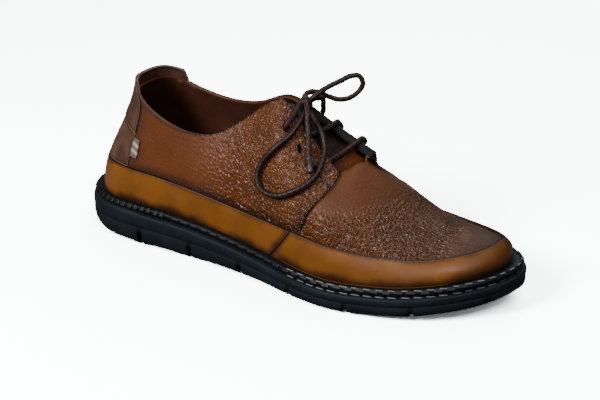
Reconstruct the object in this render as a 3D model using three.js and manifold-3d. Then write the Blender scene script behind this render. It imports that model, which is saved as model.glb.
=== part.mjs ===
// A casual lace-up shoe for the right foot, in millimetres.
// +X points to the toe, +Y to the inner side of the foot and +Z up.
// The origin lies on the floor, under the middle of the sole.
import * as THREE from "three";
import { mergeVertices } from "three/addons/utils/BufferGeometryUtils.js";
import Module from "manifold-3d";

const wasm = await Module();
wasm.setup();

// Driving dimensions
const soleLength = 300;
const ballWidth = 108;
const instepHeight = 88; // of the facings' top corner over the seat
const heelSeat = 27; // the welt's top over the floor
const ballSeat = 17;
const toeSpring = 11;
const clearance = 0.3; // between pieces that lie on each other
const seamGap = 0.6; // between the edges of pieces side by side

// Sole
const weltThickness = 4;
const weltSetback = 2.5; // the welt's outer edge inside the sole's outline
const weltLedge = 3; // the welt's visible width outside the rand
const weltRound = 1; // its edges' rounding
const heelLedge = 4.5; // more of it behind the heel
const toeLedge = 3.5; // and before the toe
const treadShare = 0.57; // of the side's height under the welt
const treadBaseThickness = 3;
const treadTaper = 4; // of the tread's side, in to the floor
const treadTuck = 6; // more of it at the heel's back and the toe's front
const heelBevel = { length: 30, rise: 7 };
const shankRear = -0.3; // where the seat begins to fall from the heel to the ball,
const shankFront = 0.14; // and where it ends, in shares of the length from the middle
const springStart = 52; // where the bottom leaves the floor, ahead of the origin
const springPower = 1.8;
const sideRound = 0.5; // how far the sole's side draws in where its layers meet
const grooveWidth = 3.6;
const grooveTilt = 0.12; // radians, turned with the ball of the foot
const firstGroove = -96;
const groovePitch = 38.8;
const grooveCount = 6;

// Upper
const wall = 1.8; // vamp leather and lining
const quarterLeather = 1.2;
const quarterLift = 0.5; // of the quarters over the wall, where they cross its curve
const randThickness = 1.5;
const randHeight = 24; // along the surface at the heel
const randGap = 0.35; // between the rand and the upper
const backstayThickness = 1.4;
const tabThickness = 2.2;
const tabRise = 7; // over the collar's edge
const ribbonThickness = 0.8;
const tongueThickness = 2.6;
const tongueReach = 6; // past the facings' top
const tongueSag = 4; // of its free end
const insoleThickness = 4;
const insoleRound = 1.2; // its edge's rounding

// Laces
const laceDiameter = 3.4;
const eyeletRadius = 2.2;

const featherInset = weltSetback + weltLedge + randGap + randThickness;

// Stations from the middle of the heel to the tip of the toe, one row for each.
// along, outer, inner: the sole's outline, in shares of its length and of the ball width.
// topAlong, topHalf, topMid, topHeight: the upper's edge, or its ridge over the vamp,
// in shares of the length, the ball width, the ball width and the instep height.
// lead, lift: how far the inner side's edge lies ahead of and above the outer side's,
// in shares of the length and of the instep height.
// bulge, rise: how the side leaves the feather edge, and out, drop: how it reaches the top,
// in shares of the ball width and of the top's own height. rand: its height there.
const columns = [
  "along", "outer", "inner",
  "topAlong", "lead", "lift", "topHalf", "topMid", "topHeight",
  "bulge", "rise", "out", "drop", "rand",
];
const stations = [
  [0.0, 0.0, 0.0, 0.136, 0.0, 0.0, 0.0, 0.0, 0.8, 0.0, 0.36, 0.045, 0.3, 1.0],
  [0.014, 0.16, 0.16, 0.139, 0.0, 0.0, 0.09, 0.0, 0.8, 0.005, 0.36, 0.045, 0.3, 1.0],
  [0.06, 0.295, 0.29, 0.152, 0.0, 0.0, 0.16, 0.0, 0.79, 0.015, 0.36, 0.04, 0.3, 1.0],
  [0.13, 0.36, 0.354, 0.178, 0.0, 0.0, 0.215, 0.0, 0.755, 0.025, 0.36, 0.035, 0.3, 0.98],
  [0.22, 0.368, 0.356, 0.225, 0.0, 0.008, 0.25, 0.0, 0.68, 0.03, 0.36, 0.02, 0.3, 0.95],
  [0.32, 0.365, 0.328, 0.3, 0.0, 0.036, 0.268, 0.0, 0.625, 0.035, 0.36, 0.02, 0.3, 0.93],
  [0.42, 0.378, 0.308, 0.375, 0.0, 0.07, 0.232, 0.0, 0.665, 0.035, 0.36, 0.06, 0.28, 0.93],
  [0.5, 0.408, 0.318, 0.43, 0.0, 0.045, 0.172, 0.0, 0.81, 0.035, 0.4, 0.09, 0.22, 0.94],
  [0.56, 0.447, 0.352, 0.5, 0.004, -0.06, 0.09, -0.02, 1.0, 0.035, 0.44, 0.13, 0.14, 0.96],
  [0.62, 0.481, 0.406, 0.563, 0.018, 0.01, 0.1, -0.015, 0.8, 0.035, 0.46, 0.15, 0.1, 0.96],
  [0.68, 0.496, 0.46, 0.632, 0.034, 0.08, 0.12, 0.0, 0.59, 0.035, 0.48, 0.15, 0.08, 0.86],
  [0.74, 0.47, 0.492, 0.66, 0.0, 0.0, 0.0, 0.055, 0.62, 0.035, 0.5, 0.11, 0.05, 0.76],
  [0.81, 0.429, 0.49, 0.748, 0.0, 0.0, 0.0, 0.07, 0.37, 0.035, 0.52, 0.1, 0.04, 0.67],
  [0.88, 0.343, 0.438, 0.8, 0.0, 0.0, 0.0, 0.08, 0.27, 0.035, 0.54, 0.12, 0.02, 0.62],
  [0.945, 0.208, 0.34, 0.868, 0.0, 0.0, 0.0, 0.09, 0.222, 0.03, 0.55, 0.11, 0.0, 0.62],
  [0.986, 0.055, 0.228, 0.915, 0.0, 0.0, 0.0, 0.09, 0.197, 0.02, 0.57, 0.07, 0.0, 0.64],
  [1.0, -0.09, 0.09, 0.936, 0.0, 0.0, 0.0, 0.09, 0.18, 0.01, 0.58, 0.05, 0.0, 0.65],
].map((row) => Object.fromEntries(columns.map((name, i) => [name, row[i]])));
const tip = stations.length - 1;
const throat = 11; // the first station on the vamp's ridge
const facingTop = 8;
const facingFoot = 10;
const eyeletPlaces = [8.38, 8.91, 9.46]; // in stations
const crossings = { lower: 9.6, middle: 8.98 }; // where two laces cross the throat, in stations
const eyeletRow = { low: 0.755, middle: 0.797, high: 0.838 }; // as v of the surface below

const mix = THREE.MathUtils.lerp;
const smooth = THREE.MathUtils.smoothstep;

// A place round the shoe, brought back between -tip and +tip.
function wrap(w) {
  return w - 2 * tip * Math.round(w / (2 * tip));
}

// A column's value between stations, mirrored past both ends. A width turns negative past the heel.
function share(name, w) {
  const s = Math.min(Math.abs(w), tip);
  const k = Math.min(Math.floor(s), tip - 1);
  const f = s - k;
  const pastHeel = name === "topHalf" ? -1 : 1;
  const at = (i) => (i < 0 ? pastHeel * stations[-i][name] : stations[i > tip ? 2 * tip - i : i][name]);
  const [a, b, c, d] = [at(k - 1), at(k), at(k + 1), at(k + 2)];
  return b + 0.5 * f * (c - a + f * (2 * a - 5 * b + 4 * c - d + f * (3 * (b - c) + d - a)));
}

// The sole's outline in plan. w runs from -tip at the toe, along the outer side, to 0 at the heel
// and on along the inner side to +tip, which is the toe again.
const outlineCurve = new THREE.CatmullRomCurve3(
  [
    ...stations.map((row) => [row, -row.outer]).reverse(),
    ...stations.slice(1, -1).map((row) => [row, row.inner]),
  ].map(([row, y]) => new THREE.Vector3((row.along - 0.5) * soleLength, y * ballWidth, 0)),
  true,
  "centripetal",
);

function outline(w) {
  const turn = (w + tip) / (2 * tip);
  return outlineCurve.getPoint(turn - Math.floor(turn));
}

// The outline's outward normal.
function outward(w) {
  const step = 0.02;
  const along = outline(w + step).sub(outline(w - step)).normalize();
  return new THREE.Vector3(-along.y, along.x, 0);
}

// Heights over the floor: how far the toe is sprung, the sole's bottom, the welt's top
// and the tread's top.
function springAt(x) {
  return toeSpring * Math.max(0, (x - springStart) / (soleLength / 2 - springStart)) ** springPower;
}

function bottomAt(x) {
  const back = Math.max(0, (heelBevel.length - soleLength / 2 - x) / heelBevel.length);
  return springAt(x) + heelBevel.rise * back ** 2;
}

function seatAt(x) {
  const drop = smooth(x, shankRear * soleLength, shankFront * soleLength);
  return mix(heelSeat, ballSeat, drop) + springAt(x);
}

function treadTopAt(x) {
  return mix(springAt(x), seatAt(x) - weltThickness, treadShare);
}

// The upper's top edge or ridge, over the seat.
function topEdge(w) {
  const open = Math.abs(w) < throat;
  const half = open ? Math.max(0, share("topHalf", w)) : 0;
  const inner = open && w > 0;
  const lead = inner ? share("lead", w) : 0;
  const lift = inner ? share("lift", w) : 0;
  return new THREE.Vector3(
    (share("topAlong", w) + lead - 0.5) * soleLength,
    (share("topMid", w) + Math.sign(w) * half) * ballWidth,
    (share("topHeight", w) + lift) * instepHeight,
  );
}

// The direction of the vamp's ridge, with a run of 1 along X.
function ridgeRun(w) {
  const s = Math.min(Math.abs(w), tip - 0.1);
  const run = topEdge(s + 0.05).sub(topEdge(s - 0.05));
  return new THREE.Vector3(1, 0, run.z / run.x);
}

// How far the upper's foot lies inside the sole's outline.
function featherDepth(normal) {
  return featherInset + (normal.x < 0 ? heelLedge : toeLedge) * normal.x ** 2;
}

// The four control points of the curve from the feather edge up to the top.
function sideCurve(place) {
  const w = wrap(place);
  const normal = outward(w);
  const feather = outline(w).addScaledVector(normal, -featherDepth(normal));
  const top = topEdge(w);
  const low = feather.clone().addScaledVector(normal, share("bulge", w) * ballWidth);
  low.z += share("rise", w) * top.z;
  const high = top.clone();
  const out = share("out", w) * ballWidth;
  const onRidge = smooth(Math.abs(w), throat - 1, throat);
  high.y += normal.y * out;
  high.x += normal.x * out;
  if (onRidge > 0) high.z += onRidge * normal.x * out * ridgeRun(w).z;
  high.z -= share("drop", w) * top.z;
  return [feather, low, high, top];
}

// A point of the upper's outer surface. v runs from 0 at the feather edge to 1 at the top,
// and goes straight on past it.
function surface(w, v) {
  const [a, b, c, d] = sideCurve(w);
  const u = Math.min(v, 1);
  const r = 1 - u;
  const point = new THREE.Vector3()
    .addScaledVector(a, r * r * r)
    .addScaledVector(b, 3 * r * r * u)
    .addScaledVector(c, 3 * r * u * u)
    .addScaledVector(d, u * u * u);
  if (v > 1) point.addScaledVector(d.clone().sub(c), 3 * (v - 1));
  point.z += seatAt(point.x) + clearance;
  return point;
}

function surfaceNormal(place, v) {
  const w = wrap(place);
  const step = 0.01;
  if (v === 0) return outward(w);
  const ridge = Math.abs(w) >= throat && v >= 1;
  if (ridge) {
    const run = ridgeRun(w);
    run.z += (seatAt(topEdge(w).x + step) - seatAt(topEdge(w).x - step)) / (2 * step);
    return new THREE.Vector3(-run.z, 0, 1).normalize();
  }
  const up = surface(w, v + (v < 1 ? step : 0)).sub(surface(w, v - step));
  const round = surface(w + step, v).sub(surface(w - step, v));
  return up.cross(round).normalize();
}

function offsetSurface(w, v, offset) {
  const point = surface(w, v).addScaledVector(surfaceNormal(w, v), offset);
  if (v === 0) point.z = seatAt(point.x) + clearance;
  return point;
}

// The v that lies a given length up the surface from the feather edge.
function climb(w, length) {
  const steps = 40;
  let before = surface(w, 0);
  let gone = 0;
  for (let i = 1; i <= steps; i++) {
    const here = surface(w, i / steps);
    const step = here.distanceTo(before);
    if (gone + step >= length) return (i - 1 + (length - gone) / step) / steps;
    gone += step;
    before = here;
  }
  return 1;
}

// Closed meshes
function toGeometry(points, quads) {
  const geometry = new THREE.BufferGeometry().setFromPoints(points);
  geometry.setIndex(quads.flatMap(([a, b, c, d]) => (d === undefined ? [a, b, c] : [a, b, c, a, c, d])));
  return geometry;
}

function range(count, from, to) {
  return Array.from({ length: count + 1 }, (_, i) => mix(from, to, i / count));
}

// A sheet with a thickness: outer and inner are grids of points, [round][up].
// holes lists grid cells that are open, each with a ring of eight points on both sides.
function sheet(outer, inner, { loop = false, sealed = () => false, holes = [] } = {}) {
  const n = outer.length;
  const m = outer[0].length;
  const points = [...outer.flat(), ...inner.flat()];
  const out = (i, j) => (i % n) * m + j;
  const inn = (i, j) => n * m + out(i, j);
  const quads = [];
  const last = loop ? n : n - 1;
  for (let i = 0; i < last; i++) {
    for (let j = 0; j < m - 1; j++) {
      const face = [out(i, j), out(i, j + 1), out(i + 1, j + 1), out(i + 1, j)];
      const back = face.map((k) => k + n * m);
      const hole = holes.find((h) => h.i === i && h.j === j);
      if (!hole) {
        quads.push(face, [...back].reverse());
        continue;
      }
      const front = points.length;
      points.push(...hole.outer, ...hole.inner);
      for (let k = 0; k < 8; k++) {
        const [a, b] = [front + k, front + ((k + 1) % 8)];
        quads.push([a, b, b + 8, a + 8]);
        const corner = Math.floor((k + 1) / 2) % 4;
        quads.push([face[corner], b, a], [back[corner], a + 8, b + 8]);
        if (k % 2 === 0) {
          const next = (corner + 1) % 4;
          quads.push([face[corner], face[next], b], [back[next], back[corner], b + 8]);
        }
      }
    }
    quads.push([out(i, 0), out(i + 1, 0), inn(i + 1, 0), inn(i, 0)]);
    if (!sealed(i)) quads.push([out(i + 1, m - 1), out(i, m - 1), inn(i, m - 1), inn(i + 1, m - 1)]);
  }
  for (let j = 0; !loop && j < m - 1; j++) {
    quads.push([out(0, j + 1), out(0, j), inn(0, j), inn(0, j + 1)]);
    quads.push([out(n - 1, j), out(n - 1, j + 1), inn(n - 1, j + 1), inn(n - 1, j)]);
  }
  return toGeometry(points, quads);
}

// A panel of the upper between two offsets. place gives [w, v] for a column and a row.
function panel(place, low, high, columnList, rowList, holes = []) {
  const grid = (offset) => columnList.map((a) => rowList.map((b) => offsetSurface(...place(a, b), offset)));
  const rings = holes.map(({ i, j, w, v }) => ({
    i,
    j,
    outer: eyeletRing(w, v, high),
    inner: eyeletRing(w, v, low),
  }));
  return sheet(grid(high), grid(low), { holes: rings });
}

// Eight points round an eyelet.
function eyeletRing(w, v, offset) {
  const step = 0.02;
  const at = (dw, dv) => offsetSurface(w + dw, v + dv, offset);
  const perRound = at(step, 0).distanceTo(at(-step, 0)) / (2 * step);
  const perUp = at(0, step).distanceTo(at(0, -step)) / (2 * step);
  return range(7, 0, 7).map((k) => {
    const angle = ((5 - k) * Math.PI) / 4;
    return at((eyeletRadius * Math.cos(angle)) / perRound, (eyeletRadius * Math.sin(angle)) / perUp);
  });
}

// A solid of level rings, each a list of points that starts at the toe and goes round by the heel.
function stack(rings) {
  const n = rings[0].length;
  const quads = [];
  for (let k = 0; k < rings.length - 1; k++) {
    for (let i = 0; i < n; i++) {
      const next = (i + 1) % n;
      quads.push([k * n + i, (k + 1) * n + i, (k + 1) * n + next, k * n + next]);
    }
  }
  const topRing = (rings.length - 1) * n;
  for (let i = 0; i < n / 2; i++) {
    const [a, b, c, d] = [(n - i) % n, n - i - 1, i + 1, i];
    const cap = [a, b, c, d].filter((v, k, all) => all.indexOf(v) === k);
    quads.push(cap.map((v) => v + topRing));
    quads.push([...cap].reverse());
  }
  return toGeometry(rings.flat(), quads);
}

// A ring with a closed profile, whose points are functions of the place round the shoe.
function hoop(profile, places) {
  const n = places.length;
  const m = profile.length;
  const points = places.flatMap((w) => profile.map((at) => at(w)));
  const quads = [];
  for (let i = 0; i < n; i++) {
    for (let j = 0; j < m; j++) {
      const [next, up] = [(i + 1) % n, (j + 1) % m];
      quads.push([i * m + j, i * m + up, next * m + up, next * m + j]);
    }
  }
  return toGeometry(points, quads);
}

function toSolid(geometry) {
  const bare = new THREE.BufferGeometry()
    .setAttribute("position", geometry.getAttribute("position"))
    .setIndex(geometry.index);
  const merged = mergeVertices(bare, 1e-4);
  return new wasm.Manifold(
    new wasm.Mesh({
      numProp: 3,
      vertProperties: merged.attributes.position.array,
      triVerts: new Uint32Array(merged.index.array),
    }),
  );
}

function fromSolid(solid) {
  const mesh = solid.getMesh();
  const geometry = new THREE.BufferGeometry();
  geometry.setAttribute("position", new THREE.BufferAttribute(new Float32Array(mesh.vertProperties), 3));
  geometry.setIndex(new THREE.BufferAttribute(new Uint32Array(mesh.triVerts), 1));
  return geometry;
}

// Materials
function finish(color, roughness, metalness = 0) {
  return new THREE.MeshStandardMaterial({ color, roughness, metalness });
}
const rubber = finish(0x14171c, 0.6);
const grainLeather = finish(0x6b3a1c, 0.45);
const tanLeather = finish(0x8f5a22, 0.4);
const darkLeather = finish(0x4a332b, 0.45);
const footbedCloth = finish(0x35221b, 0.9);
const lacing = finish(0x2a1a18, 0.6);
const agletMetal = finish(0x55555a, 0.4, 0.6);
const ribbonCloth = finish(0xc9b8a4, 0.8);

const shoe = new THREE.Group();
function add(name, geometry, material) {
  const mesh = new THREE.Mesh(geometry, material);
  mesh.name = name;
  shoe.add(mesh);
}

// Sole
const soleRound = range(2 * tip * 2, -tip, tip).slice(0, -1);

// A point inside the outline by an inset, which grows by tuck at the heel's back and the toe's front.
function rimPoint(w, inset, heightAt, tuck = 0) {
  const normal = outward(w);
  const point = outline(w).addScaledVector(normal, -inset - tuck * normal.x ** 4);
  point.z = heightAt(point.x);
  return point;
}

// A point inside the outline by the depth of the upper's foot and more.
function footPoint(w, more, heightAt) {
  return rimPoint(w, featherDepth(outward(w)) + more, heightAt);
}

function levelRing(inset, heightAt, tuck) {
  return soleRound.map((w) => rimPoint(w, inset, heightAt, tuck));
}

const weltReach = wall + 1; // inwards from the upper's foot
const weltBottomAt = (x) => seatAt(x) - weltThickness;
add(
  "welt",
  hoop(
    [
      (w) => rimPoint(w, weltSetback + sideRound, weltBottomAt),
      (w) => rimPoint(w, weltSetback, (x) => weltBottomAt(x) + weltRound),
      (w) => rimPoint(w, weltSetback, (x) => seatAt(x) - weltRound),
      (w) => rimPoint(w, weltSetback + weltRound, seatAt),
      (w) => footPoint(w, weltReach, seatAt),
      (w) => footPoint(w, weltReach, weltBottomAt),
    ],
    soleRound,
  ),
  rubber,
);

const midsoleTopAt = (x) => weltBottomAt(x) - clearance;
const midsoleLevel = (part) => (x) => mix(treadTopAt(x) + clearance, midsoleTopAt(x), part);
add(
  "midsole",
  stack([
    levelRing(sideRound, midsoleLevel(0)),
    levelRing(0, midsoleLevel(0.25)),
    levelRing(0, midsoleLevel(0.6)),
    levelRing(sideRound, midsoleLevel(0.88)),
    levelRing(3 * sideRound, midsoleLevel(1)),
  ]),
  rubber,
);

// The tread: a slab with grooves across it, cut through to the side.
const treadLevel = (part) => (x) => mix(bottomAt(x), treadTopAt(x), part);
const treadSlab = toSolid(
  stack([
    levelRing(treadTaper, treadLevel(0), treadTuck),
    levelRing(0.4 * treadTaper, treadLevel(0.16), 0.4 * treadTuck),
    levelRing(0, treadLevel(0.5)),
    levelRing(0, treadLevel(0.9)),
    levelRing(sideRound, treadLevel(1)),
  ]),
);
const tread = range(grooveCount - 1, 0, grooveCount - 1).reduce((left, k) => {
  const x = firstGroove + k * groovePitch;
  const roof = treadTopAt(x) - treadBaseThickness;
  const groove = new THREE.BoxGeometry(grooveWidth, 2 * ballWidth, 2 * roof);
  groove.rotateZ(grooveTilt).translate(x, 0, 0);
  return left.subtract(toSolid(groove));
}, treadSlab);
add("outsole", fromSolid(tread), rubber);

// Insole: fills the welt's opening and lies on the midsole.
const insoleRing = (more, heightAt) => soleRound.map((w) => footPoint(w, weltReach + more, heightAt));
add(
  "insole",
  stack([
    insoleRing(clearance, (x) => midsoleTopAt(x) + clearance),
    insoleRing(clearance, (x) => seatAt(x) + insoleThickness - insoleRound),
    insoleRing(clearance + insoleRound, (x) => seatAt(x) + insoleThickness),
  ]),
  footbedCloth,
);

// Upper: one hollow shell, open underneath and at the collar and throat.
const sideColumns = [
  ...range(6, 0, 3), 3.6, 4.2, 4.8, 5.4, 6, 6.6, 7.2, 7.6, facingTop, 8.12, 8.64, 9.18, 9.72, facingFoot,
  10.4, 10.7, ...range(10, throat, tip),
];
const upperRound = [...sideColumns.slice(1).map((w) => -w).reverse(), ...sideColumns.slice(0, -1)];
const upperUp = [0, 0.1, 0.2, 0.3, 0.41, 0.52, 0.61, 0.69, eyeletRow.low, eyeletRow.high, 0.92, 1];
const eyeletCell = upperUp.indexOf(eyeletRow.low);
const columnOf = (list, w) => list.findIndex((from, i) => from <= w && w < list[i + 1]);
const eyelets = [-1, 1].flatMap((side) => eyeletPlaces.map((w) => ({ side, w: side * w })));
const upperGrid = (offset) => upperRound.map((w) => upperUp.map((v) => offsetSurface(w, v, offset)));
add(
  "upper",
  sheet(upperGrid(0), upperGrid(-wall), {
    loop: true,
    sealed: (i) => Math.abs(upperRound[i] + 0.1) > throat - 0.01,
    holes: eyelets.map(({ w }) => ({
      i: columnOf(upperRound, w),
      j: eyeletCell,
      outer: eyeletRing(w, eyeletRow.middle, 0),
      inner: eyeletRing(w, eyeletRow.middle, -wall),
    })),
  }),
  grainLeather,
);

// Where the rand ends and the quarters and the backstay begin.
const randTop = (w) => climb(w, randHeight * share("rand", wrap(w)));
const quarterFoot = (w) => climb(w, randHeight * share("rand", w) + seamGap);

// Rand: a band round the whole foot of the upper, in a front and a rear piece.
const randSeam = { foot: 7.35, top: 8.45 };
const seamAt = (b) => mix(randSeam.foot, randSeam.top, b);
const seamHalf = 0.014; // half of the gap there, in stations
const randRows = range(5, 0, 1);
const randOffsets = [randGap, randGap + randThickness];
const randPlace = (column, b) => {
  const w = typeof column === "number" ? column : column(b);
  return [w, b * randTop(w)];
};
const rearColumns = sideColumns.filter((w) => w < randSeam.foot);
const randRear = [...rearColumns, (b) => mix(rearColumns.at(-1), seamAt(b), 0.5)];
const mirrored = (column) => (typeof column === "number" ? -column : (b) => -column(b));
add(
  "rand_rear",
  panel(
    randPlace,
    ...randOffsets,
    [
      (b) => seamHalf - seamAt(b),
      ...randRear.slice(1).map(mirrored).reverse(),
      ...randRear,
      (b) => seamAt(b) - seamHalf,
    ],
    randRows,
  ),
  tanLeather,
);
const frontColumns = sideColumns.filter((w) => w > randSeam.top + 0.5);
const randFront = [(b) => mix(seamAt(b), frontColumns[0], 0.5), ...frontColumns];
const beyondToe = (column) => (typeof column === "number" ? 2 * tip - column : (b) => 2 * tip - column(b));
add(
  "rand_front",
  panel(
    randPlace,
    ...randOffsets,
    [
      (b) => seamAt(b) + seamHalf,
      ...randFront,
      ...randFront.slice(0, -1).map(beyondToe).reverse(),
      (b) => 2 * tip - seamAt(b) - seamHalf,
    ],
    randRows,
  ),
  tanLeather,
);

// Backstay over the back of the heel, and the tab that stands up from it.
const backstayEdge = 3.2; // its front edge, in stations
const tabFoot = { middle: 0.8, front: 0.68 }; // as v of the surface
const tabFront = { foot: backstayEdge, outerTop: 2.3, innerTop: 3 };
const tabGap = 0.007; // along v, to the backstay
const tabFootAt = (w) => mix(tabFoot.middle, tabFoot.front, Math.abs(w) / tabFront.foot);
const insideBackstay = upperRound.filter((w) => Math.abs(w) < backstayEdge - 0.1);
const heelColumns = [-backstayEdge, ...insideBackstay, backstayEdge];
add(
  "backstay",
  panel(
    (w, b) => [w, mix(quarterFoot(w), tabFootAt(w) - tabGap, b)],
    clearance,
    clearance + backstayThickness,
    heelColumns,
    range(5, 0, 1),
  ),
  darkLeather,
);
const tabTopRow = 1 + tabRise / (3 * share("drop", 0) * share("topHeight", 0) * instepHeight);
add(
  "heel_tab",
  panel(
    (a, b) => {
      const v = mix(tabFootAt(a * tabFront.foot), tabTopRow, b);
      const top = a < 0 ? tabFront.outerTop : tabFront.innerTop;
      const reach = mix(tabFront.foot, top, Math.max(0, (v - 1) / (tabTopRow - 1)));
      return [a * reach, v];
    },
    clearance,
    clearance + tabThickness,
    heelColumns.map((w) => w / backstayEdge),
    range(6, 0, 1),
  ),
  darkLeather,
);

// Quarters: each reaches from the backstay to a front edge that slants over the vamp.
const quarterFront = { foot: 8.68, top: facingFoot };
const quarterGap = 0.04; // to the backstay, in stations
const quarterRear = backstayEdge + quarterGap;
const quarterEdge = 9.89; // its front edge at the eyelets' row
const quarterColumns = [
  quarterRear,
  ...sideColumns.filter((w) => w > quarterRear + 0.2 && w < facingFoot - 0.5),
  quarterEdge,
];
const quarterRows = [-1, 0, ...upperUp.filter((v) => v > 0.4)];
function quarterPanel(side) {
  const place = (column, row) => {
    const foot = quarterFoot(side * column);
    const v = row > 0 ? row : mix(foot, quarterRows[2], (row + 1) / 2);
    const below = (1 - v) / (1 - foot);
    const front = mix(quarterFront.top, quarterFront.foot, below ** 2);
    const beyond = Math.max(0, column - facingTop) / (quarterEdge - facingTop);
    const w = Math.min(column, facingTop) + beyond * (front - facingTop);
    return [side * w, v];
  };
  const list = side < 0 ? [...quarterColumns].reverse() : quarterColumns;
  const holes = eyeletPlaces.map((w) => {
    const i = columnOf(quarterColumns, w);
    return {
      i: side < 0 ? quarterColumns.length - 2 - i : i,
      j: quarterRows.indexOf(eyeletRow.low),
      w: side * w,
      v: eyeletRow.middle,
    };
  });
  return panel(place, quarterLift, quarterLift + quarterLeather, list, quarterRows, holes);
}
add("quarter_outer", quarterPanel(-1), grainLeather);
add("quarter_inner", quarterPanel(1), grainLeather);

// Ribbon sewn over the quarter's rear edge, on the outer side.
const ribbonOffset = quarterLift + quarterLeather + clearance;
add(
  "ribbon",
  panel(
    (w, v) => [w, v],
    ribbonOffset,
    ribbonOffset + ribbonThickness,
    range(2, -3.5, -3.26),
    range(3, 0.46, 0.64),
  ),
  ribbonCloth,
);

// Tongue: reaches under the facings from side to side, and from the vamp up past the facings' top.
const tongueFoot = 11.6;
const tongueGap = 0.9; // under the upper's inside
const tongueDip = 4; // more of it, where the vamp closes over the tongue
const tongueEdge = { held: [0.8, 0.88, 0.96], free: [0.86, 0.92, 0.97] }; // as v of the surface
function tongueArc(w, offset) {
  const beyond = Math.max(0, facingTop - w);
  const s = Math.max(w, facingTop);
  const rise = new THREE.Vector3();
  if (beyond > 0) {
    rise.subVectors(topEdge(facingTop), topEdge(facingTop + 1)).setY(0).normalize();
    rise.multiplyScalar(beyond * tongueReach).add(new THREE.Vector3(0, 0, -beyond * tongueSag));
  }
  const edge = beyond > 0 ? tongueEdge.free : tongueEdge.held;
  const depth = wall + tongueGap + tongueDip * smooth(w, crossings.lower, facingFoot + 0.2) + offset;
  const side = (turn) => edge.map((v) => offsetSurface(turn * s, v, -depth).add(rise));
  return new THREE.CatmullRomCurve3([...side(-1), ...side(1).reverse()], false, "centripetal");
}
const tongueRows = [tongueFoot, 11.3, 11, 10, 9.5, 9, 8.5, 8, 7.5, 7];
const tongueGrid = (offset) => {
  const rows = tongueRows.map((w) => tongueArc(w, offset).getPoints(10));
  return rows[0].map((_, i) => rows.map((row) => row[i])).reverse();
};
add("tongue", sheet(tongueGrid(0), tongueGrid(tongueThickness)), darkLeather);

// Laces
const laceSides = 8;
const laceStep = 2.4 * laceDiameter;
const laceLift = clearance + laceDiameter / 2; // of a lace's middle over what it lies on
const quarterTop = quarterLift + quarterLeather;

function cord(points, diameter = laceDiameter) {
  const path = new THREE.CatmullRomCurve3(points, false, "centripetal");
  const section = range(laceSides - 1, 0, laceSides - 1).map((k) => {
    const angle = (2 * Math.PI * k) / laceSides;
    return new THREE.Vector2(Math.cos(angle), Math.sin(angle)).multiplyScalar(diameter / 2);
  });
  const steps = Math.max(2, Math.ceil(path.getLength() / laceStep));
  const settings = { steps, extrudePath: path, bevelEnabled: false };
  return new THREE.ExtrudeGeometry(new THREE.Shape(section), settings);
}

// A crossing: it leaves the outer facing's edge over the tongue, climbs over the inner facing's
// edge and ends over the inner eyelet.
const crossingStart = [[0.445, 0.4], [0.49, 0.6]]; // part of the tongue's arc, and the gap over it
const crossingEnd = [[1.06, 0.6], [0.99, 0.5], [0.92, 0.2], [0.837, 0.2]]; // v of the surface, and the gap
function crossing(w) {
  const overTongue = ([part, gap]) => tongueArc(w, -laceLift - gap).getPoint(part);
  const overQuarter = ([v, gap]) => offsetSurface(w, v, quarterTop + laceLift + gap);
  return cord([...crossingStart.map(overTongue), ...crossingEnd.map(overQuarter)]);
}
add("lace_lower", crossing(crossings.lower), lacing);
add("lace_middle", crossing(crossings.middle), lacing);

// The knot, and the strands, loops and end that leave it
const knot = { middle: new THREE.Vector3(11, -3, 104.5), width: 10.4, height: 9.6 };
function knotSolid(grow) {
  const shape = new THREE.SphereGeometry(1, 12, 8);
  shape.scale(knot.width / 2 + grow, knot.width / 2 + grow, knot.height / 2 + grow);
  return toSolid(shape.translate(...knot.middle));
}
function strand(route) {
  return toSolid(cord(route.map((point) => new THREE.Vector3(...point)))).subtract(knotSolid(clearance));
}
const routes = {
  lace_outer: [
    [11, -3, 104.5], [10.6, -9.5, 105.6], [11, -13.2, 103.5], [10.8, -17.1, 100.9], [10.4, -20.2, 99],
    [10.2, -23.7, 96.4],
  ],
  lace_inner: [
    [11, -3, 104.5], [14, 0.6, 108], [16.4, 3.6, 108.4], [17.2, 6.6, 106.4],
    [15.6, 8.8, 103.2], [13.4, 10, 101], [11.8, 13.6, 97.4], [10.6, 18.6, 92.4],
  ],
  loop_standing: [
    [11, -3, 104.5], [15.4, -4, 108.4], [19, -1.5, 112], [21.5, 5, 114.2], [24.2, 16, 115.6],
    [27.2, 22, 117.2], [31, 26, 117], [33.2, 27, 112.6], [31.4, 26, 107.6], [27, 21.6, 103.6],
    [21.6, 18, 102.8], [16.6, 14.6, 104.8], [12, 9.4, 108.2], [9.8, 5, 109.3], [8.6, 1, 108.4],
    [11, -3, 104.5],
  ],
  loop_drooping: [
    [11, -3, 104.5], [13.4, -9.6, 101.2], [15, -16.4, 97.8], [13.2, -24.6, 91.8], [7.4, -32.6, 85],
    [0.4, -35.2, 75.6], [-1.8, -36.8, 67.7], [0.6, -38.8, 61.6], [7, -40.6, 59.4], [16.7, -41.7, 60.5],
    [25, -40, 64.4], [31, -35, 68.4], [33.6, -27.6, 72.9], [32.9, -20.9, 77.4], [30.4, -13.6, 83],
    [26.4, -9.4, 89.4], [21, -6.8, 94.6], [15.8, -4, 98.6], [11, -3, 104.5],
  ],
  lace_end: [
    [11, -3, 104.5], [15.2, -9.2, 106], [18.6, -13.4, 102.4], [20, -15.8, 97.6], [21.8, -18, 93.2],
    [23.4, -20.4, 88.8], [25, -23, 84.8], [26.4, -25.2, 81.4],
  ],
};
add("lace_knot", fromSolid(knotSolid(0)), lacing);
for (const [name, route] of Object.entries(routes)) add(name, fromSolid(strand(route)), lacing);

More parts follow.
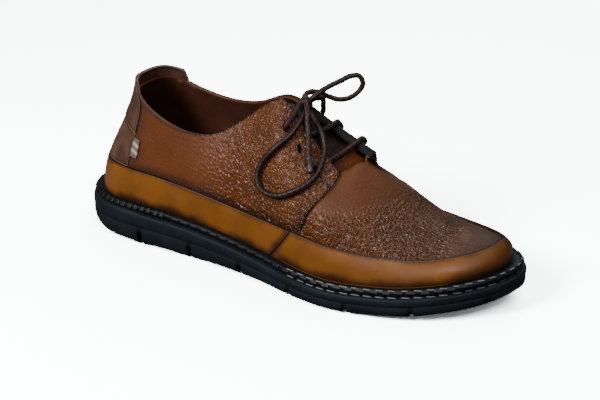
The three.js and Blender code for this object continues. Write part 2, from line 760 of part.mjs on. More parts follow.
const aglet = { from: [26.8, -25.8, 80.9], to: [31.6, -31.6, 74.3], diameter: 3.9 };
const agletEnds = [aglet.from, aglet.to].map((point) => new THREE.Vector3(...point));
add("aglet", cord(agletEnds, aglet.diameter), agletMetal);

export default shoe;
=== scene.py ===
import math

import bmesh
import bpy
from mathutils import Matrix, Vector
from mathutils.bvhtree import BVHTree
from mathutils.kdtree import KDTree


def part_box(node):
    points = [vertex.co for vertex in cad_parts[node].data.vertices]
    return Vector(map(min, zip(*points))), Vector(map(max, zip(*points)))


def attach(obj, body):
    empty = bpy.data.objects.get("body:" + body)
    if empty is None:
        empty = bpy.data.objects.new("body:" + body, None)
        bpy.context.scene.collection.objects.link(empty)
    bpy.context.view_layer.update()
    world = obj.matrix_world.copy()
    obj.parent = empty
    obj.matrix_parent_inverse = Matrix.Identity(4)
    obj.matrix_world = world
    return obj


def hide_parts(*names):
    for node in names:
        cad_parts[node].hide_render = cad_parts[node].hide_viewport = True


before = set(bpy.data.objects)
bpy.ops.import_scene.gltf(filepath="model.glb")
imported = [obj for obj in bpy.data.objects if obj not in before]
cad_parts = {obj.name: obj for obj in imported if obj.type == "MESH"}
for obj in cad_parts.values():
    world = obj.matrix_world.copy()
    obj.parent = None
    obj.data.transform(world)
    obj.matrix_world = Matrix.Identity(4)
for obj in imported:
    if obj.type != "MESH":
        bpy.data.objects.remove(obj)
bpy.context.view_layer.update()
mm = 0.001

# Camera
# A long lens looks down on the shoe's outer side, a little from the toe's end, as in the photograph.
view_target = Vector((0.00515, 0.00029, 0.03938))
view_turn, view_rise, view_distance = math.radians(31.07), math.radians(23.64), 0.75961
view_back = Vector((
    math.sin(view_turn) * math.cos(view_rise),
    -math.cos(view_turn) * math.cos(view_rise),
    math.sin(view_rise),
))
camera_data = bpy.data.cameras.new("camera")
camera_data.sensor_width = 36
camera_data.lens = 73.6
camera = bpy.data.objects.new("camera", camera_data)
camera.location = view_target + view_back * view_distance
camera.rotation_mode = "QUATERNION"
camera.rotation_quaternion = (-view_back).to_track_quat("-Z", "Y")
bpy.context.collection.objects.link(camera)
bpy.context.scene.camera = camera

# Laces
# One round waxed cord, woven over a core. It crosses the throat twice from under the outer facing to the
# inner eyelets, leaves the top eyelets and is tied in a bow with two loops and one end that shows.
lace_width = 3.4 * mm


def smooth_route(knots, step=0.8 * mm):
    """Points about a step apart on one smooth curve through the knots, which are in millimetres."""
    knots = [Vector(knot) * mm for knot in knots]
    padded = [knots[0] * 2 - knots[1], *knots, knots[-1] * 2 - knots[-2]]
    route = []
    for a, b, c, d in zip(padded, padded[1:], padded[2:], padded[3:]):
        t1 = math.sqrt((b - a).length)
        t2 = t1 + math.sqrt((c - b).length)
        t3 = t2 + math.sqrt((d - c).length)
        count = max(2, round((c - b).length / step))
        for i in range(count):
            t = t1 + (t2 - t1) * i / count
            first, middle, last = a.lerp(b, t / t1), b.lerp(c, (t - t1) / (t2 - t1)), c.lerp(d, (t - t2) / (t3 - t2))
            before, after = first.lerp(middle, t / t2), middle.lerp(last, (t - t1) / (t3 - t1))
            route.append(before.lerp(after, (t - t1) / (t2 - t1)))
    return route + [knots[-1]]


def route_length(route):
    return sum((b - a).length for a, b in zip(route, route[1:]))


def add_tube(bm, route):
    """A round lace along a route, with its length and the turn round it as the UV map Along."""
    along_map = bm.loops.layers.uv.get("Along") or bm.loops.layers.uv.new("Along")
    side, rings, along, sides = Vector((0.31, 0.17, 0.93)), [], 0, 12
    for i, point in enumerate(route):
        ahead = (route[min(i + 1, len(route) - 1)] - route[max(i - 1, 0)]).normalized()
        side = (side - ahead * side.dot(ahead)).normalized()
        across = ahead.cross(side)
        along += (point - route[i - 1]).length if i else 0
        turns = [math.tau * k / sides for k in range(sides)]
        ring = [bm.verts.new(point + (side * math.cos(t) + across * math.sin(t)) * lace_width / 2) for t in turns]
        rings.append((ring, along))
    for (ring, start), (after, end) in zip(rings, rings[1:]):
        for k in range(sides):
            m = (k + 1) % sides
            face = bm.faces.new((ring[k], ring[m], after[m], after[k]))
            face.smooth = True
            for loop, (u, v) in zip(face.loops, ((start, k), (start, k + 1), (end, k + 1), (end, k))):
                loop[along_map].uv = (u, v / sides)
    bm.faces.new(reversed(rings[0][0]))
    bm.faces.new(rings[-1][0])


def add_piece(name, bm, slot, *stands_for):
    """Makes a piece from a bmesh, which rides on the shoe and stands for CAD nodes."""
    mesh = bpy.data.meshes.new(name)
    bm.to_mesh(mesh)
    bm.free()
    piece = bpy.data.objects.new(name, mesh)
    bpy.context.collection.objects.link(piece)
    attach(piece, "root")
    if stands_for:
        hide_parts(*stands_for)
    return piece


lace_routes = {
    "lace_lower": [
        (32.2, -15.4, 74.6), (33, -10.6, 75.4), (35, -2.9, 76.8), (38.4, 5.4, 80.2), (41, 11.3, 83.2),
        (40.3, 14.4, 82.4), (39.6, 17.8, 80.6), (38.4, 21.6, 77.8), (36.8, 22.2, 75.8), (35.8, 19.4, 73),
        (35.4, 17.2, 70.8),
    ],
    "lace_middle": [
        (18.3, -14.2, 87.8), (18.9, -9.6, 88.2), (20.5, -3.2, 88.2), (23.6, 3.2, 90.2), (26.1, 8.4, 92.2),
        (25.2, 11.6, 90.8), (24.3, 15, 88.4), (23.2, 19, 84.8), (22.2, 19.1, 82.4), (21.2, 16.8, 80),
        (20.4, 14.4, 78),
    ],
    "lace_outer": [
        (5.4, -17.6, 90.2), (7.1, -19.8, 92.5), (8.9, -22.1, 94.8), (10.2, -23.3, 96.9), (10.4, -20.2, 99),
        (10.8, -17.1, 100.9), (11, -13.2, 103.5), (10.6, -9.5, 105.6), (11, -3, 104.5),
    ],
    "lace_inner": [
        (8.8, 12.2, 87), (9.4, 14.4, 88.8), (10.2, 17.3, 91.1), (11.4, 17.6, 94.4), (13.2, 14.2, 98.6),
        (15.2, 11, 102.4), (16.2, 7.4, 105.6), (14.6, 2.4, 106.8), (11, -3, 104.5),
    ],
    "loop_standing": [
        (12.6, -2.4, 106), (15.4, -4, 108.4), (19, -1.5, 112), (21.5, 5, 114.2), (24.2, 16, 115.6),
        (27.2, 22, 117.2), (31, 26, 117), (33.2, 27, 112.6), (31.4, 26, 107.6), (27, 21.6, 103.6),
        (21.6, 18, 102.8), (16.6, 14.6, 104.8), (12, 9.4, 108.2), (9.8, 5, 109.3), (8.6, 1, 108.4),
        (9, -3.4, 103.6),
    ],
    "loop_drooping": [
        (12, -5.2, 103.4), (13.4, -9.6, 101.2), (15, -16.4, 97.8), (13.2, -24.6, 91.8), (7.4, -32.6, 85),
        (0.4, -35.2, 75.6), (-1.8, -36.8, 67.7), (0.6, -38.8, 61.6), (7, -40.6, 59.4), (16.7, -41.7, 60.5),
        (25, -40, 64.4), (31, -35, 68.4), (33.6, -27.6, 72.9), (32.9, -20.9, 77.4), (30.4, -13.6, 83),
        (26.4, -9.4, 89.4), (21, -6.8, 94.6), (15.8, -4, 98.6), (11, -1.6, 101.6),
    ],
    "lace_end": [
        (11, -3, 104.5), (15.2, -9.2, 106), (18.6, -13.4, 102.4), (20, -15.8, 97.6), (21.8, -18, 93.2),
        (23.4, -20.4, 88.8), (25, -23, 84.8), (26.8, -25.7, 81),
    ],
}
cords = {}
for name, knots in lace_routes.items():
    route = smooth_route(knots)
    bm = bmesh.new()
    add_tube(bm, route)
    cords[name] = (add_piece(name + "_cord", bm, "lacing", name), route)

# The knot is three turns of the same cord, pulled tight round the strands that leave it.
knot_middle = Vector((11, -3, 104.5))
knot_wraps = (  # axis, radius, turns and where it starts, in radians
    ((0.5, 0.35, 0.8), 3.1, 1.3, 0.4),
    ((0.75, -0.6, 0.3), 2.9, 1.1, 2.2),
    ((-0.2, 0.85, 0.5), 2.7, 1.0, 4.1),
)
wrap_rise, wrap_steps = 3.6, 12
bm = bmesh.new()
for axis, reach, turns, start in knot_wraps:
    axis = Vector(axis).normalized()
    side = axis.orthogonal().normalized()
    across = axis.cross(side)
    wrap = []
    for i in range(wrap_steps + 1):
        turn = start + math.tau * turns * i / wrap_steps
        lift = wrap_rise * (i / wrap_steps - 0.5)
        wrap.append(knot_middle + (side * math.cos(turn) + across * math.sin(turn)) * reach + axis * lift)
    add_tube(bm, smooth_route(wrap))
knot = add_piece("lace_knot_wraps", bm, "lacing", "lace_knot")

# The tip is a pressed grey sleeve with rounded ends and a crimp near its mouth.
tip_start, tip_end = Vector((26.6, -25.5, 81.2)) * mm, Vector((31.8, -31.8, 74.1)) * mm
tip_profile = [  # part of the length, radius
    (0, 1.6), (0.03, 1.88), (0.08, 1.95), (0.16, 1.95), (0.2, 1.8),
    (0.24, 1.95), (0.9, 1.95), (0.96, 1.7), (0.99, 1.1), (1, 0.3),
]
tip_length = (tip_end - tip_start).length
bm = bmesh.new()
profile = [bm.verts.new((radius * mm, 0, part * tip_length)) for part, radius in tip_profile]
edges = [bm.edges.new(pair) for pair in zip(profile, profile[1:])]
bmesh.ops.spin(bm, geom=profile + edges, axis=(0, 0, 1), cent=(0, 0, 0), angle=math.tau, steps=16, use_merge=True)
bmesh.ops.holes_fill(bm, edges=bm.edges, sides=0)
bmesh.ops.recalc_face_normals(bm, faces=bm.faces)
for face in bm.faces:
    face.smooth = True
tip_place = Matrix.Translation(tip_start) @ (tip_end - tip_start).to_track_quat("Z", "Y").to_matrix().to_4x4()
bmesh.ops.transform(bm, matrix=tip_place, verts=bm.verts)
tip = add_piece("aglet_sleeve", bm, "aglet_metal", "aglet")


def add_node(tree, kind, inputs=None, **settings):
    """A shader node with its sockets filled or linked, by name or by number."""
    made = tree.nodes.new("ShaderNode" + kind)
    for key, value in settings.items():
        setattr(made, key, value)
    for key, value in (inputs or {}).items():
        if isinstance(value, bpy.types.NodeSocket):
            tree.links.new(value, made.inputs[key])
        else:
            made.inputs[key].default_value = value
    return made


def maths(tree, operation, *values):
    return add_node(tree, "Math", dict(enumerate(values)), operation=operation).outputs[0]


def ridges(tree, value, operation="SINE"):
    """The height of a row of round ridges, one for each unit of the value."""
    return maths(tree, "ABSOLUTE", maths(tree, operation, maths(tree, "MULTIPLY", value, math.pi)))


def fade(tree, value, low, high, start=0.0, end=1.0):
    """A soft step from start to end as the value goes from low to high."""
    limits = {"Value": value, "From Min": low, "From Max": high, "To Min": start, "To Max": end}
    return add_node(tree, "MapRange", limits, interpolation_type="SMOOTHSTEP").outputs["Result"]


def tint(tree, amount, one, two, mode="MIX"):
    """A colour between two, which are given in sRGB from 0 to 255 or as sockets."""
    made = add_node(tree, "Mix", {0: amount}, data_type="RGBA", blend_type=mode)
    for socket, colour in ((made.inputs[6], one), (made.inputs[7], two)):
        if isinstance(colour, bpy.types.NodeSocket):
            tree.links.new(colour, socket)
        else:
            socket.default_value = linear(colour)
    return made.outputs[2]


def linear(colour):
    parts = [value / 255 for value in colour]
    return [p / 12.92 if p <= 0.04045 else ((p + 0.055) / 1.055) ** 2.4 for p in parts] + [1]


def new_material(name, **constants):
    """An empty material with its shader, whose constant sockets are set here."""
    made = bpy.data.materials.new(name)
    made.use_nodes = True
    tree = made.node_tree
    tree.nodes.clear()
    shader = tree.nodes.new("ShaderNodeBsdfPrincipled")
    end = tree.nodes.new("ShaderNodeOutputMaterial")
    tree.links.new(shader.outputs[0], end.inputs[0])
    for key, value in constants.items():
        shader.inputs[key.replace("_", " ")].default_value = value
    return made, tree, shader


def finish_surface(tree, shader, colour, roughness, height, depth):
    """Feeds the shader. The height's full range stands for the depth, in metres."""
    tree.links.new(colour, shader.inputs["Base Color"])
    tree.links.new(roughness, shader.inputs["Roughness"])
    bump = add_node(tree, "Bump", {"Height": height, "Distance": depth, "Strength": 1.0})
    tree.links.new(bump.outputs[0], shader.inputs["Normal"])


def coat_pieces(material, *pieces):
    for piece in pieces:
        piece.data.materials.clear()
        piece.data.materials.append(material)


# The weave is a braid of narrow flat strands: two sets of ridges that wind round the cord against each other.
lace_leather, tree, shader = new_material("waxed_lace", Specular_IOR_Level=0.3)
along = add_node(tree, "SeparateXYZ", {0: add_node(tree, "UVMap", uv_map="Along").outputs[0]})
pitch = maths(tree, "DIVIDE", along.outputs[0], lace_width)
turn = maths(tree, "MULTIPLY", along.outputs[1], 3.0)
one_way, other_way = (ridges(tree, maths(tree, way, pitch, turn)) for way in ("ADD", "SUBTRACT"))
braid = maths(tree, "MAXIMUM", one_way, other_way)
place = add_node(tree, "TexCoord").outputs["Object"]
wax = add_node(tree, "TexNoise", {"Vector": place, "Scale": 240.0, "Detail": 3.0}).outputs[0]
# The grooves between the braid's strands are painted darker: painted shade.
colour = tint(tree, fade(tree, braid, 0.55, 1.0), (12, 6, 5), (44, 26, 22))
# Four thin light lines run along the cord: painted highlights.
painted_core_highlights = fade(tree, ridges(tree, maths(tree, "MULTIPLY", along.outputs[1], 5.0), "COSINE"), 0.86, 1.0)
colour = tint(tree, maths(tree, "MULTIPLY", painted_core_highlights, 0.6), colour, (92, 66, 60))
colour = tint(tree, fade(tree, wax, 0.35, 0.7, 0.0, 0.4), colour, (14, 8, 8))
roughness = fade(tree, wax, 0.3, 0.7, 0.38, 0.6)
finish_surface(tree, shader, colour, roughness, braid, 0.25 * mm)
coat_pieces(lace_leather, knot, *(piece for piece, _ in cords.values()))

tip_metal, tree, shader = new_material("grey_tip", Metallic=0.6, Specular_IOR_Level=0.5)
place = add_node(tree, "TexCoord").outputs["Object"]
worn = add_node(tree, "TexNoise", {"Vector": place, "Scale": 900.0, "Detail": 4.0}).outputs[0]
colour = tint(tree, worn, (50, 47, 46), (76, 73, 71))
finish_surface(tree, shader, colour, fade(tree, worn, 0.3, 0.7, 0.35, 0.55), worn, 0.05 * mm)
coat_pieces(tip_metal, tip)

# Outsole and midsole
# One black rubber unit, moulded in two layers: a tread cut by wedge grooves, with fine serrations
# along its foot, and a shouldered wall above it, which stands out past the welt.
sole_middle = (Vector((-94, 0, 0)) * mm, Vector((92, 4, 0)) * mm)
girth_step = 0.8 * mm


crease_angle, corner_angle = math.radians(48), math.radians(38)


def fine_copy(node, slot, levels=2):
    """A merged, subdivided copy of a CAD node, which replaces it. Its rims stay sharp."""
    bm = bmesh.new()
    bm.from_mesh(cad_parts[node].data)
    bmesh.ops.remove_doubles(bm, verts=bm.verts, dist=0.002 * mm)
    flat, square = math.radians(35), math.radians(50)
    bmesh.ops.join_triangles(bm, faces=bm.faces, angle_face_threshold=flat, angle_shape_threshold=square)
    creases = bm.edges.layers.float.new("crease_edge")
    corners = bm.verts.layers.float.new("crease_vert")
    for edge in bm.edges:
        if len(edge.link_faces) != 2 or edge.calc_face_angle() > crease_angle:
            edge[creases] = 1
    for vertex in bm.verts:
        ways = [edge.other_vert(vertex).co - vertex.co for edge in vertex.link_edges if edge[creases] == 1]
        if len(ways) == 2 and ways[0].angle(-ways[1]) > corner_angle:
            vertex[corners] = 1
    piece = add_piece(node + "_skin", bm, slot, node)
    surface = piece.modifiers.new("rounding", "SUBSURF")
    surface.levels = surface.render_levels = levels
    surface.uv_smooth = "NONE"
    rounded = bpy.data.meshes.new_from_object(piece.evaluated_get(bpy.context.evaluated_depsgraph_get()))
    rounded.name = piece.name
    piece.modifiers.clear()
    piece.data = rounded
    rounded.shade_smooth()
    rounded.set_sharp_from_angle(angle=math.radians(40))
    return piece


def surface_tree(piece):
    return BVHTree.FromPolygons([v.co for v in piece.data.vertices], [p.vertices for p in piece.data.polygons])


def point_tree(points):
    tree = KDTree(len(points))
    for i, point in enumerate(points):
        tree.insert(point, i)
    tree.balance()
    return tree


def girth(piece, low, high):
    """The outermost points of a piece all round the shoe, evenly spaced, with the outward directions."""
    tree = surface_tree(piece)
    heel, toe = sole_middle
    # Rays come in round the heel, along the outer side, round the toe and back along the inner side.
    rays = [(heel, math.radians(angle)) for angle in range(180, 270, 4)]
    rays += [(heel.lerp(toe, k / 40), math.radians(270)) for k in range(41)]
    rays += [(toe, math.radians(angle)) for angle in range(274, 450, 4)]
    rays += [(toe.lerp(heel, k / 40), math.radians(90)) for k in range(41)]
    rays += [(heel, math.radians(angle)) for angle in range(94, 180, 4)]
    points = []
    for start, turn in rays:
        outward = Vector((math.cos(turn), math.sin(turn), 0))
        best = None
        for k in range(24):
            level = Vector((0, 0, low + (high - low) * k / 23))
            hit = tree.ray_cast(start + outward * 0.2 + level, -outward)[0]
            if hit and (best is None or (hit - start).dot(outward) > (best - start).dot(outward)):
                best = hit
        if best:
            points.append(best)
    closed = points + points[:1]
    total = route_length(closed)
    count = round(total / girth_step)
    line, goal, walked = [], 0.0, 0.0
    for a, b in zip(closed, closed[1:]):
        span = (b - a).length
        while goal < walked + span and len(line) < count:
            line.append(a.lerp(b, (goal - walked) / span))
            goal += total / count
        walked += span
    outs = []
    for i, point in enumerate(line):
        ahead = line[(i + 3) % count] - line[i - 3]
        outs.append(Vector((ahead.y, -ahead.x, 0)).normalized())
    return line, outs, total


def map_round(piece, line, total):
    """Gives a piece a UV map Round: the way along the line round the shoe, and the height, both in metres."""
    tree = point_tree([(point.x, point.y, 0) for point in line])
    near = [tree.find((v.co.x, v.co.y, 0))[1] / len(line) * total for v in piece.data.vertices]
    layer = piece.data.uv_layers.new(name="Round")
    for polygon in piece.data.polygons:
        first = near[polygon.vertices[0]]
        for loop, vertex in zip(polygon.loop_indices, polygon.vertices):
            along = near[vertex]
            along -= total * round((along - first) / total)
            layer.data[loop].uv = (along, piece.data.vertices[vertex].co.z)


def spread(piece, name, points, reach):
    """Writes how far each vertex is from the nearest of the points, up to the reach, as an attribute."""
    tree = point_tree(points)
    values = [min(reach, tree.find(v.co)[2]) for v in piece.data.vertices]
    piece.data.attributes.new(name, "FLOAT", "POINT").data.foreach_set("value", values)


def attribute(tree, name):
    return add_node(tree, "Attribute", attribute_name=name).outputs["Fac"]


outsole = fine_copy("outsole", "rubber", 1)
midsole = fine_copy("midsole", "rubber", 2)
sole_line, sole_outs, sole_girth = girth(midsole, 8 * mm, 23 * mm)
map_round(outsole, sole_line, sole_girth)
map_round(midsole, sole_line, sole_girth)
joint_reach = 5 * mm
spread(outsole, "joint", [v.co.copy() for v in midsole.data.vertices], joint_reach)
spread(midsole, "joint", [v.co.copy() for v in outsole.data.vertices], joint_reach)


def speckle_group():
    """The fine even grain of moulded rubber or of smooth leather, from two sizes of noise."""
    group = bpy.data.node_groups.new("Fine grain", "ShaderNodeTree")
    group.interface.new_socket("Place", in_out="INPUT", socket_type="NodeSocketVector")
    group.interface.new_socket("Size", in_out="INPUT", socket_type="NodeSocketFloat")
    group.interface.new_socket("Height", in_out="OUTPUT", socket_type="NodeSocketFloat")
    group.interface.new_socket("Blotch", in_out="OUTPUT", socket_type="NodeSocketFloat")
    start, end = group.nodes.new("NodeGroupInput"), group.nodes.new("NodeGroupOutput")
    scale = maths(group, "DIVIDE", 1.0, start.outputs["Size"])
    grain = add_node(group, "TexNoise", {"Vector": start.outputs["Place"], "Scale": scale, "Detail": 3.0}).outputs[0]
    wide = maths(group, "MULTIPLY", scale, 0.03)
    blotch = add_node(group, "TexNoise", {"Vector": start.outputs["Place"], "Scale": wide, "Detail": 4.0}).outputs[0]
    group.links.new(grain, end.inputs["Height"])
    group.links.new(blotch, end.inputs["Blotch"])
    return group


fine_grain = speckle_group()


def use_group(tree, group, **inputs):
    made = tree.nodes.new("ShaderNodeGroup")
    made.node_tree = group
    for key, value in inputs.items():
        if isinstance(value, bpy.types.NodeSocket):
            tree.links.new(value, made.inputs[key])
        else:
            made.inputs[key].default_value = value
    return made.outputs


first_groove, groove_pitch, groove_tilt = -96 * mm, 38.8 * mm, 0.12
tooth_pitch = 5 * mm


def rubber(name, serrated):
    dark, light = (17, 23, 29), (23, 31, 38)
    made, tree, shader = new_material(name, Specular_IOR_Level=0.18)
    place = add_node(tree, "TexCoord").outputs["Object"]
    way = add_node(tree, "SeparateXYZ", {0: add_node(tree, "UVMap", uv_map="Round").outputs[0]})
    grain = use_group(tree, fine_grain, Place=place, Size=0.5 * mm)
    colour = tint(tree, fade(tree, grain["Blotch"], 0.3, 0.7), dark, light)
    height = maths(tree, "MULTIPLY", grain["Height"], 0.12)
    if serrated:
        # The serrations are small notches along the foot of the wall, bumped in and painted near black inside as
        # painted shade.
        tooth = maths(tree, "FRACT", maths(tree, "DIVIDE", way.outputs[0], tooth_pitch))
        notch = fade(tree, maths(tree, "ABSOLUTE", maths(tree, "SUBTRACT", tooth, 0.5)), 0.28, 0.42)
        low = fade(tree, way.outputs[1], 1.6 * mm, 2.6 * mm, 1.0, 0.0)
        cut = maths(tree, "MULTIPLY", notch, low)
        height = maths(tree, "SUBTRACT", height, cut)
        colour = tint(tree, cut, colour, (2, 3, 4))
        # The wedge grooves are painted black along their lines, as painted shade inside them, and run a little askew,
        # as the solid's do.
        spot = add_node(tree, "SeparateXYZ", {0: place}).outputs
        askew = maths(tree, "ADD", spot[0], maths(tree, "MULTIPLY", spot[1], groove_tilt))
        past = maths(tree, "ADD", askew, 0.5 * groove_pitch - first_groove)
        part = maths(tree, "FRACT", maths(tree, "DIVIDE", past, groove_pitch))
        away = maths(tree, "MULTIPLY", maths(tree, "ABSOLUTE", maths(tree, "SUBTRACT", part, 0.5)), groove_pitch)
        colour = tint(tree, fade(tree, away, 1.0 * mm, 1.9 * mm, 1.0, 0.0), colour, (1, 2, 2))
    # The joint between the two layers is pressed shut, so it is duller than the wall; it is also painted a little
    # darker, as painted shade over its edge's highlight, so it hardly shows.
    joint = fade(tree, attribute(tree, "joint"), 0.6 * mm, 2.4 * mm, 1.0, 0.0)
    colour = tint(tree, maths(tree, "MULTIPLY", joint, 0.35), colour, dark)
    roughness = maths(tree, "MAXIMUM", joint, fade(tree, grain["Blotch"], 0.3, 0.7, 0.5, 0.62))
    finish_surface(tree, shader, colour, roughness, height, 0.6 * mm)
    return made


coat_pieces(rubber("tread_rubber", True), outsole)
coat_pieces(rubber("wall_rubber", False), midsole)

# Welt
# A glossy black rubber strip between the sole and the rand, with moulded stitch pads all round its edge.
# Along the forepart two rows of light grey dashes are painted highlights on the pads' edges.
welt = fine_copy("welt", "rubber", 2)
welt_line, welt_outs, welt_girth = girth(welt, 14 * mm, 28 * mm)
map_round(welt, welt_line, welt_girth)
welt_tree, midsole_tree = surface_tree(welt), surface_tree(midsole)


def rounded_block(size, rounding, segments=2):
    """A small block with soft edges, as a mesh to be set down many times."""
    bm = bmesh.new()
    bmesh.ops.create_cube(bm, size=1)
    bmesh.ops.scale(bm, vec=[side * mm for side in size], verts=bm.verts)
    bmesh.ops.bevel(
        bm, geom=bm.edges, offset=rounding * mm, affect="EDGES", segments=segments, profile=0.5, material=-1,
    )
    mesh = bpy.data.meshes.new("block")
    bm.to_mesh(mesh)
    bm.free()
    return mesh


def set_down(bm, form, middle, ahead, up):
    """Adds a form to a bmesh with its length along ahead and its top along up."""
    side = up.cross(ahead).normalized()
    ahead = side.cross(up).normalized()
    turned = Matrix((ahead, side, up.normalized())).transposed().to_4x4()
    copy = form.copy()
    copy.transform(Matrix.Translation(middle) @ turned)
    bm.from_mesh(copy)
    bpy.data.meshes.remove(copy)


def round_the_welt(name, form, pitch, lean, lift, wanted, offset=0.0, surface=welt_tree, stand=-1.2 * mm):
    """Sets a form down all round the welt's edge, on the surface that a ray at the lean meets, as one piece."""
    bm = bmesh.new()
    lean = math.radians(lean)
    count = round(welt_girth / pitch)
    for k in range(count):
        part = (k + offset) / count
        index = int(part * len(welt_line)) % len(welt_line)
        point, out = welt_line[index], welt_outs[index]
        if not wanted(point):
            continue
        aim = (out * math.cos(lean) + Vector((0, 0, math.sin(lean)))).normalized()
        spot = surface.ray_cast(point + out * stand + aim * 20 * mm, -aim)[0]
        if spot:
            set_down(bm, form, spot + aim * lift, Vector((-out.y, out.x, 0)), aim)
    return add_piece(name, bm, "rubber")


waist_start, waist_end, highlight_dash_start = -70 * mm, 12 * mm, 20 * mm
stitch_pitch = 7.4 * mm
pad = rounded_block((4.9, 2.6, 1.2), 0.45)
heel_pad = rounded_block((3.2, 3.4, 1.3), 0.5)
waist_pad = rounded_block((5.4, 2, 0.8), 0.35)
highlight_dash = rounded_block((5.0, 0.7, 0.6), 0.2, 1)
welt_pads = round_the_welt("welt_pads", pad, stitch_pitch, 42, 0.1 * mm, lambda p: p.x > waist_end)
welt_heel_pads = round_the_welt("welt_heel_pads", heel_pad, 5.2 * mm, 38, 0.1 * mm, lambda p: p.x < waist_start)
welt_waist_pads = round_the_welt(
    "welt_waist_pads", waist_pad, stitch_pitch, 40, 0.05 * mm, lambda p: waist_start <= p.x <= waist_end,
)
# Two rows of light grey dashes along the forepart: painted highlights on the pads' edges.
upper_highlight_dashes = round_the_welt(
    "welt_stitches_upper", highlight_dash, stitch_pitch, 66, 0.5 * mm, lambda p: p.x > highlight_dash_start, 0.5,
)
# The lower row lies on the midsole's shoulder, just outside the welt.
lower_highlight_dashes = round_the_welt(
    "welt_stitches_lower", highlight_dash, stitch_pitch, 60, 0.1 * mm, lambda p: p.x > highlight_dash_start, 0.5,
    surface=midsole_tree, stand=1.0 * mm,
)

welt_gloss, tree, shader = new_material("welt_rubber", Specular_IOR_Level=0.3)
place = add_node(tree, "TexCoord").outputs["Object"]
grain = use_group(tree, fine_grain, Place=place, Size=0.8 * mm)
colour = tint(tree, fade(tree, grain["Blotch"], 0.3, 0.7), (4, 7, 10), (9, 13, 17))
finish_surface(tree, shader, colour, fade(tree, grain["Height"], 0.3, 0.7, 0.42, 0.55), grain["Height"], 0.08 * mm)
coat_pieces(welt_gloss, welt, welt_pads, welt_heel_pads, welt_waist_pads)

# The dashes are light grey: painted highlights.
highlight_dash_rubber, tree, shader = new_material("painted_highlight_dash", Specular_IOR_Level=0.5)
place = add_node(tree, "TexCoord").outputs["Object"]
grain = use_group(tree, fine_grain, Place=place, Size=0.4 * mm)
colour = tint(tree, grain["Height"], (92, 98, 102), (128, 132, 134))
finish_surface(tree, shader, colour, fade(tree, grain["Height"], 0.3, 0.7, 0.35, 0.5), grain["Height"], 0.08 * mm)
coat_pieces(highlight_dash_rubber, upper_highlight_dashes, lower_highlight_dashes)

# Upper
# A soft leather shell, pulled over the last and turned in under the rand. The vamp is tumbled leather,
# brushed darker at the toe, and the inside is lined with thin dark leather.


room_end, room_side, room_height = 88 * mm, 3 * mm, 32 * mm


def shoe_axis(point):
    """The nearest point inside the foot's room, from which outward is told."""
    return Vector((min(max(point.x, -room_end), room_end), room_side, room_height))


def faces_out(middle, normal):
    return normal.dot(middle - shoe_axis(middle)) > 0


def rim_edges(piece):
    """The sharp edges of a piece's outer face: both ends' numbers and places, the way in, and the face's normal."""
    mesh = piece.data
    bm = bmesh.new()
    bm.from_mesh(mesh)
    found = []
    for edge in bm.edges:
        if len(edge.link_faces) != 2 or edge.calc_face_angle() < math.radians(46):
            continue
        faces = [f for f in edge.link_faces if faces_out(f.calc_center_median(), f.normal)]
        if not faces:
            continue
        middle = (edge.verts[0].co + edge.verts[1].co) / 2
        face = max(faces, key=lambda f: f.normal.dot((middle - shoe_axis(middle)).normalized()))
        ahead = (edge.verts[1].co - edge.verts[0].co).normalized()
        inward = face.normal.cross(ahead)
        if inward.dot(face.calc_center_median() - middle) < 0:
            inward = -inward
        start, end = edge.verts
        found.append((start.index, end.index, start.co.copy(), end.co.copy(), inward, face.normal.copy()))
    bm.free()
    return found


def rim_points(rims, wanted=None):
    points = []
    for _, _, a, b, inward, _ in rims:
        if wanted is None or wanted((a + b) / 2, inward):
            steps = max(1, round((b - a).length / (0.4 * mm)))
            points += [a.lerp(b, k / steps) for k in range(steps)]
    return points


def press(piece, line, width, depth, even=False):
    """A soft trough along the given points, in millimetres. An even one moves a panel's two faces alike."""
    route = smooth_route(line, 1 * mm)
    tree = point_tree(route)
    normals = [v.normal.copy() for v in piece.data.vertices]
    for vertex, normal in zip(piece.data.vertices, normals):
        away = tree.find(vertex.co)[2]
        if away < width * mm:
            out = normal if faces_out(vertex.co, normal) else -normal
            if even:
                out = (vertex.co - shoe_axis(vertex.co)).normalized()
            vertex.co -= out * depth * mm * (0.5 + 0.5 * math.cos(math.pi * away / (width * mm)))


upper = fine_copy("upper", "grain_leather", 2)
upper_rims = rim_edges(upper)
spread(upper, "rim", rim_points(upper_rims), 12 * mm)


